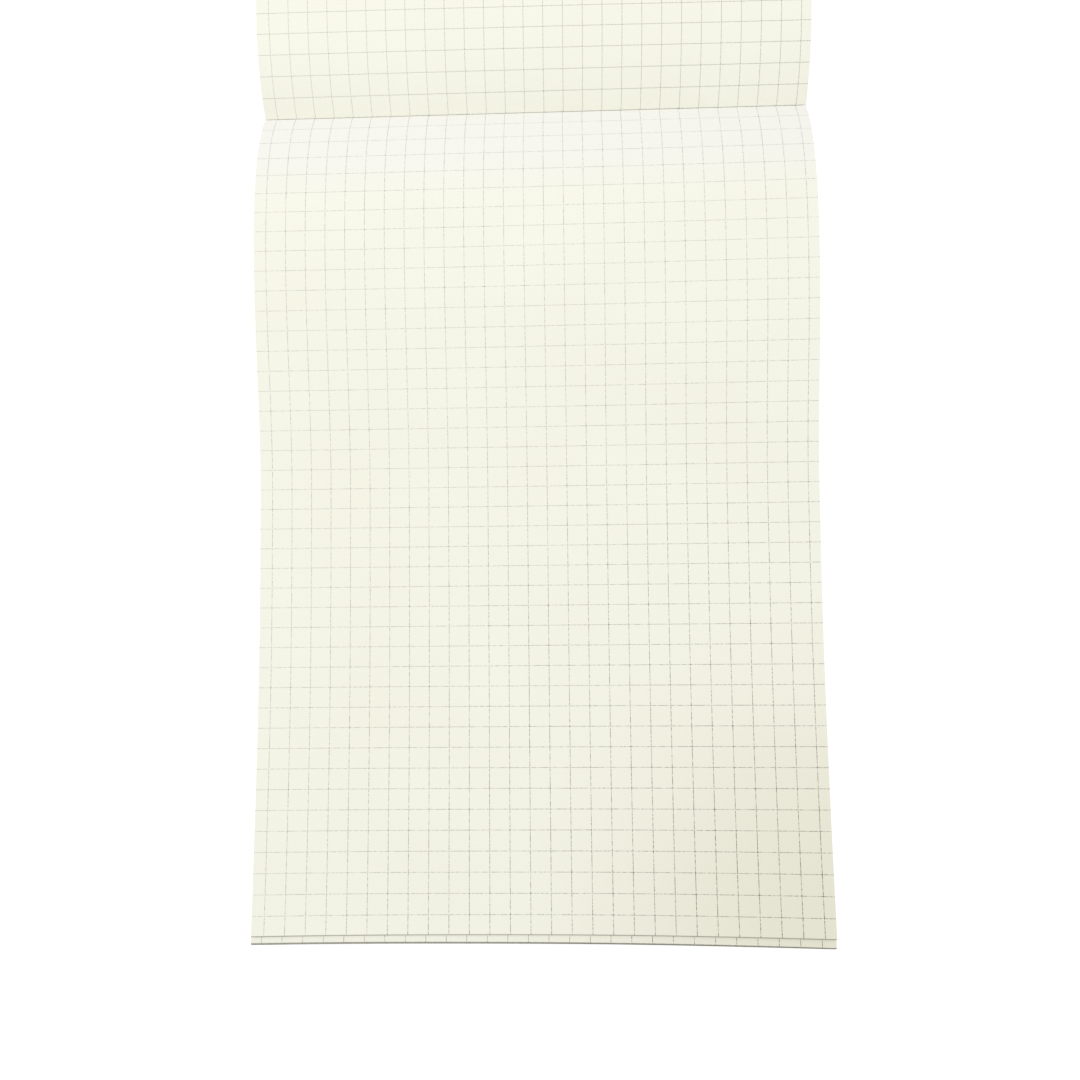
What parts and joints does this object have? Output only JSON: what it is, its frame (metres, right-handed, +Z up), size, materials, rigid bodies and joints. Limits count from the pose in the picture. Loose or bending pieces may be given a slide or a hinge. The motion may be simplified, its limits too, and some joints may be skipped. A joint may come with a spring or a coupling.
{
  "type": "graph paper notepad",
  "caption": "Head-bound notepad of square-ruled ivory paper, lying open, with thin card covers, a taped and glued spine, and leaves that turn.",
  "frame": {"origin": "on the table under the middle of the spine, at the centre of the open pad's underside", "axes": "+X across the page to the right, +Y from the lower page towards the turned pages, +Z up from the table"},
  "size_m": [0.14, 0.4208, 0.0094],
  "materials": {
    "paper": "uncoated ivory paper with a fine grey 5 mm square grid",
    "cover_card": "plain uncoated kraft card",
    "binding_tape": "fine woven binding tape, dark grey",
    "binding_glue": "clear-to-cream flexible padding glue"
  },
  "bodies": {
    "lower_pad": {"back_cover": "cover_card", "leaf_22": "paper", "leaf_23": "paper", "leaf_24": "paper", "leaf_25": "paper", "leaf_26": "paper", "leaf_27": "paper", "leaf_28": "paper", "leaf_29": "paper", "leaf_30": "paper", "leaf_31": "paper", "leaf_32": "paper", "leaf_33": "paper", "leaf_34": "paper", "leaf_35": "paper", "leaf_36": "paper", "leaf_37": "paper", "leaf_38": "paper", "leaf_39": "paper", "leaf_40": "paper", "spine_tape": "binding_tape", "spine_glue": "binding_glue"},
    "upper_pad": {"leaf_01": "paper", "leaf_02": "paper", "leaf_03": "paper", "leaf_04": "paper", "leaf_05": "paper", "leaf_06": "paper", "leaf_07": "paper", "leaf_08": "paper", "leaf_09": "paper", "leaf_10": "paper", "leaf_11": "paper", "leaf_12": "paper", "leaf_13": "paper", "leaf_14": "paper", "leaf_15": "paper", "leaf_16": "paper", "leaf_17": "paper", "leaf_18": "paper", "leaf_19": "paper", "leaf_20": "paper"},
    "front_cover": {"front_cover": "cover_card"},
    "top_leaf": {"leaf_21": "paper"}
  },
  "joints": [
    {"name": "pad_fold", "type": "hinge", "parent": "lower_pad", "child": "upper_pad", "pos_m": [0, 0, 0.00275], "axis": [1, 0, 0], "range_deg": [0, 180], "deforming": ["leaf_17", "leaf_18", "leaf_19", "leaf_20", "leaf_21", "leaf_22", "leaf_23", "leaf_24", "spine_tape", "spine_glue"]},
    {"name": "front_cover_turn", "type": "hinge", "parent": "upper_pad", "child": "front_cover", "pos_m": [0, 0.0044, -0.0001], "axis": [-1, 0, 0], "range_deg": [0, 180], "deforming": ["spine_tape"]},
    {"name": "leaf_turn", "type": "hinge", "parent": "lower_pad", "child": "top_leaf", "pos_m": [0, -0.0027, 0.00275], "axis": [-1, 0, 0], "range_deg": [0, 140], "deforming": ["leaf_21"]}
  ]
}
